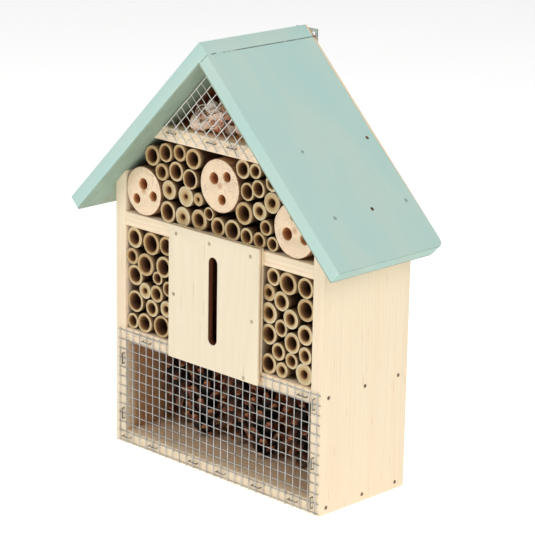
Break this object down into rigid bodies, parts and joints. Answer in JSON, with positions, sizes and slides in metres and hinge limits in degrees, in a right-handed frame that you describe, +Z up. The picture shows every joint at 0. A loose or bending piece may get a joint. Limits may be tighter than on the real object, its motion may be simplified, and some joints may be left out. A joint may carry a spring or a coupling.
{
  "type": "insect hotel",
  "caption": "Gabled wooden insect hotel with a pitched roof, cane and log nests, a slotted butterfly chamber, and wire-fronted spaces for cones and shavings.",
  "frame": {"origin": "on the ground under the centre of the whole hotel's box", "axes": "+Z up, front faces -Y, +X to the right seen from the front"},
  "size_m": [0.2376, 0.0958, 0.2819],
  "materials": {
    "pine": "bare planed pine, satin",
    "plywood": "bare sanded plywood",
    "mint_paint": "thin matt paint over wood",
    "galvanised_wire": "galvanised, dull",
    "zinc_steel": "zinc plated",
    "bamboo": "dried cane, sawn ends",
    "log_wood": "sawn peeled branch",
    "pine_cone": "dry matt scales",
    "shavings": "raw curled shavings"
  },
  "bodies": {
    "root": {"left_wall": "pine", "right_wall": "pine", "bottom_board": "pine", "lower_shelf": "pine", "upper_shelf": "pine", "attic_shelf": "pine", "left_divider": "pine", "right_divider": "pine", "back_panel": "plywood", "front_panel": "plywood", "roof_left_panel": "mint_paint", "roof_right_panel": "mint_paint", "lower_mesh": "galvanised_wire", "attic_mesh": "galvanised_wire", "lower_mesh_staples": "zinc_steel", "attic_mesh_staples": "zinc_steel", "wall_nails": "zinc_steel", "roof_nails": "zinc_steel", "ridge_nails": "zinc_steel", "front_panel_pins": "zinc_steel", "back_panel_pins": "zinc_steel", "hanger_plate": "galvanised_wire", "hanger_screws": "zinc_steel", "log_left": "log_wood", "log_middle": "log_wood", "log_right": "log_wood", "left_canes_lower": "bamboo", "left_canes_middle": "bamboo", "left_canes_upper": "bamboo", "right_canes_lower": "bamboo", "right_canes_middle": "bamboo", "right_canes_upper": "bamboo", "top_canes_lower": "bamboo", "top_canes_middle": "bamboo", "top_canes_upper": "bamboo", "pine_cone_1": "pine_cone", "pine_cone_2": "pine_cone", "pine_cone_3": "pine_cone", "pine_cone_4": "pine_cone", "pine_cone_5": "pine_cone", "pine_cone_6": "pine_cone", "wood_shavings": "shavings"}
  },
  "joints": []
}
